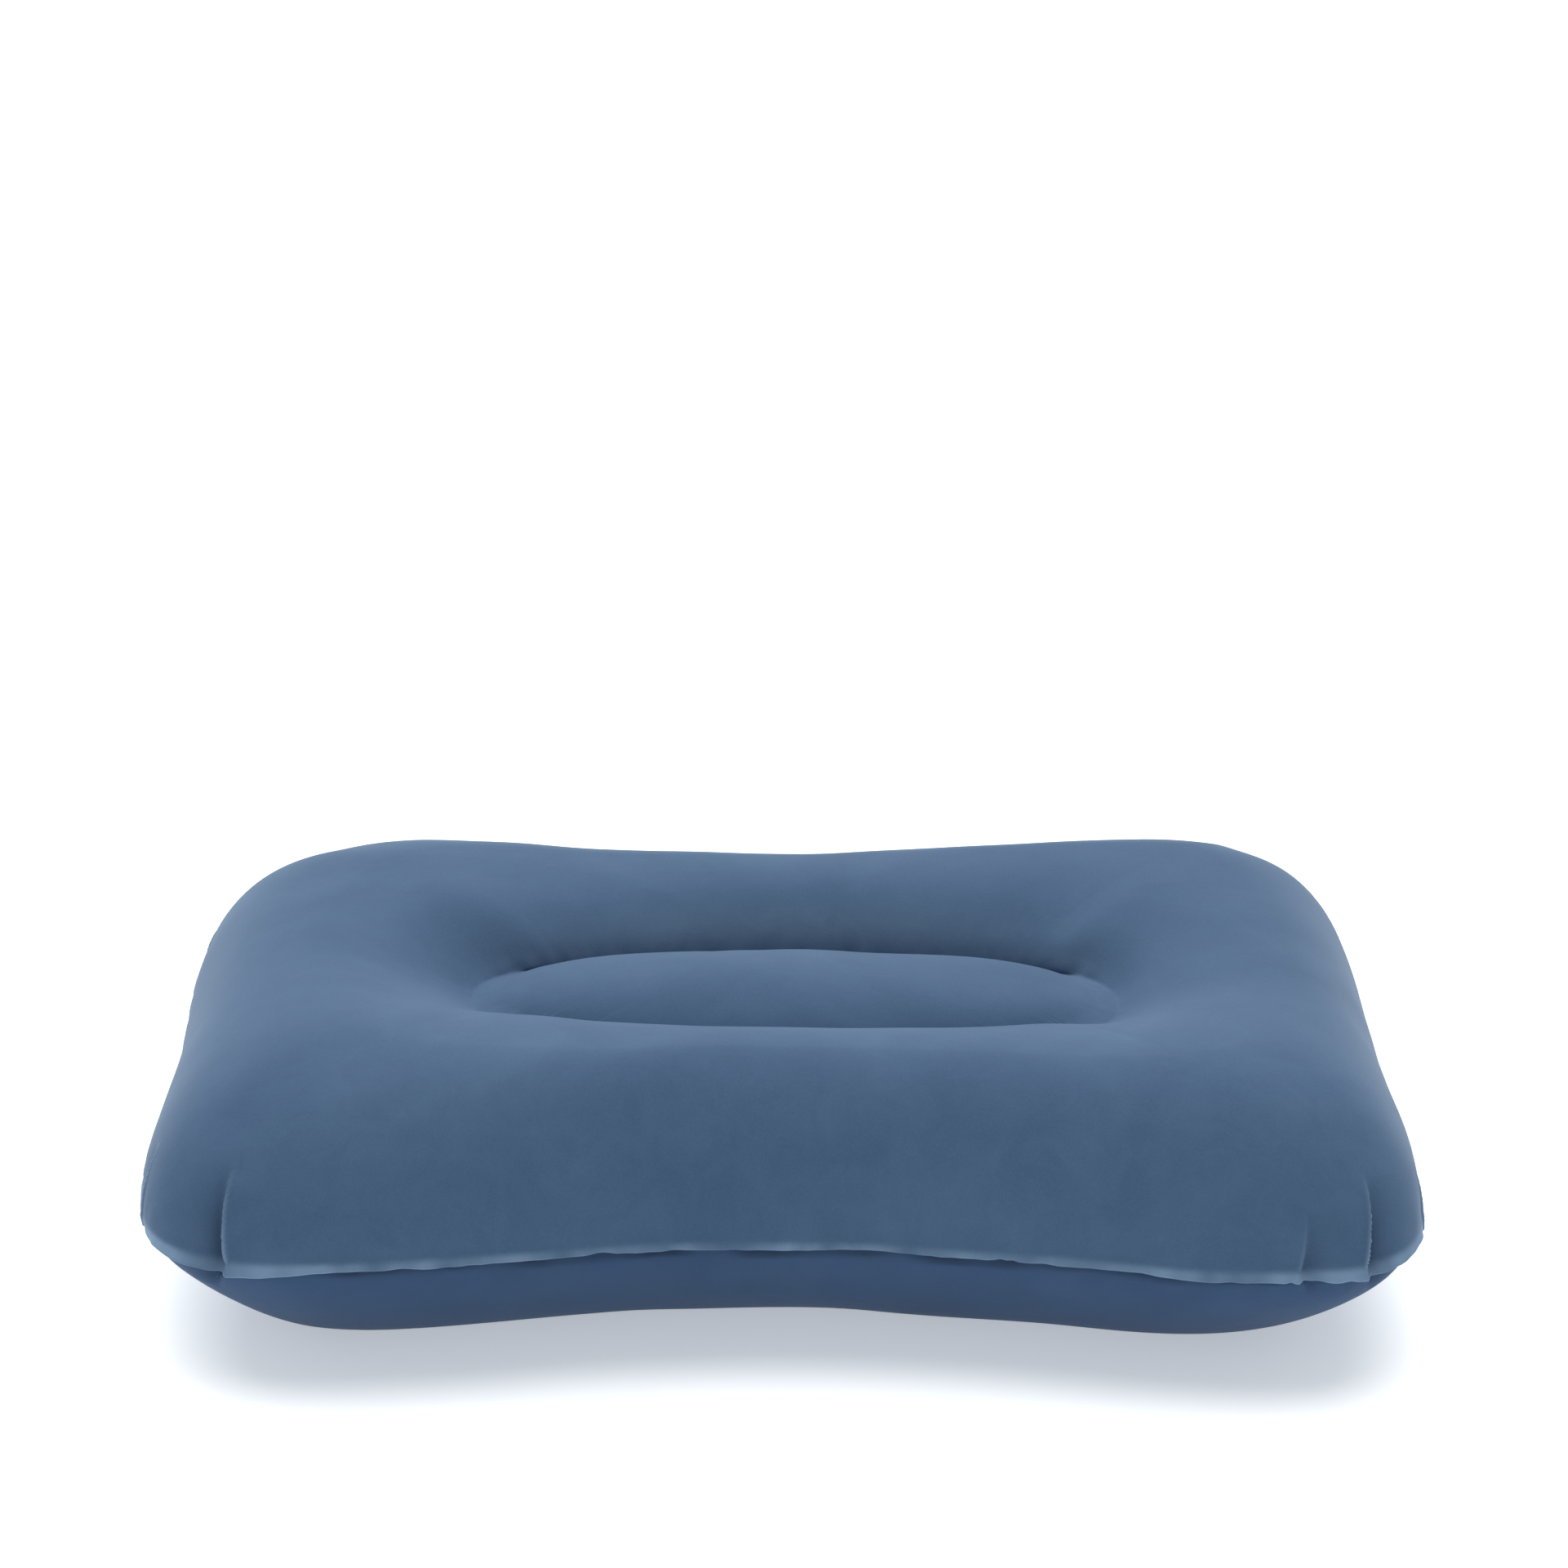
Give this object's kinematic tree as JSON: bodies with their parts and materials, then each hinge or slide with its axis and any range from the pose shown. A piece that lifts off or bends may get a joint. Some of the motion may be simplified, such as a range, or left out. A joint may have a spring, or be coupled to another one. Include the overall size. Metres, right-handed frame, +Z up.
{
  "type": "inflatable camp pillow",
  "caption": "Inflatable camp pillow with a flocked, waisted body, a raised head cushion inside an oval crease, a welded seam lip, and a press-in stem valve with a captive plug on its back.",
  "frame": {"origin": "on the ground, under the middle of the pillow's bounding box", "axes": "+X along the pillow, +Y towards its back, where the valve is, +Z up"},
  "size_m": [0.4182, 0.2578, 0.0986],
  "materials": {
    "flocked_sheet": "velvety flock on vinyl",
    "base_sheet": "matte flocked vinyl underside",
    "inner_film": "plain soft vinyl film",
    "valve_vinyl": "soft semi-gloss moulded vinyl"
  },
  "bodies": {
    "shell": {"top_sheet": "flocked_sheet", "bottom_sheet": "base_sheet", "tension_band": "inner_film", "valve_flange": "valve_vinyl", "valve_boot": "valve_vinyl"},
    "stem": {"valve_stem": "valve_vinyl"},
    "flap": {"check_flap": "inner_film"},
    "plug": {"valve_plug": "valve_vinyl", "plug_strap": "valve_vinyl"}
  },
  "joints": [
    {"name": "stem_pull", "type": "slide", "parent": "shell", "child": "stem", "axis": [0.1271, 0.9047, 0.4067], "range_m": [0, 0.014]},
    {"name": "plug_swing", "type": "hinge", "parent": "stem", "child": "plug", "pos_m": [-0.10815, 0.11787, 0.06672], "axis": [-0.0566, -0.4028, 0.9135], "range_deg": [0, 150]},
    {"name": "flap_lift", "type": "hinge", "parent": "stem", "child": "flap", "pos_m": [-0.09635, 0.09906, 0.05915], "axis": [-0.0566, -0.4028, 0.9135], "range_deg": [0, 60], "stiffness_Nm_per_rad": 0.0002}
  ]
}
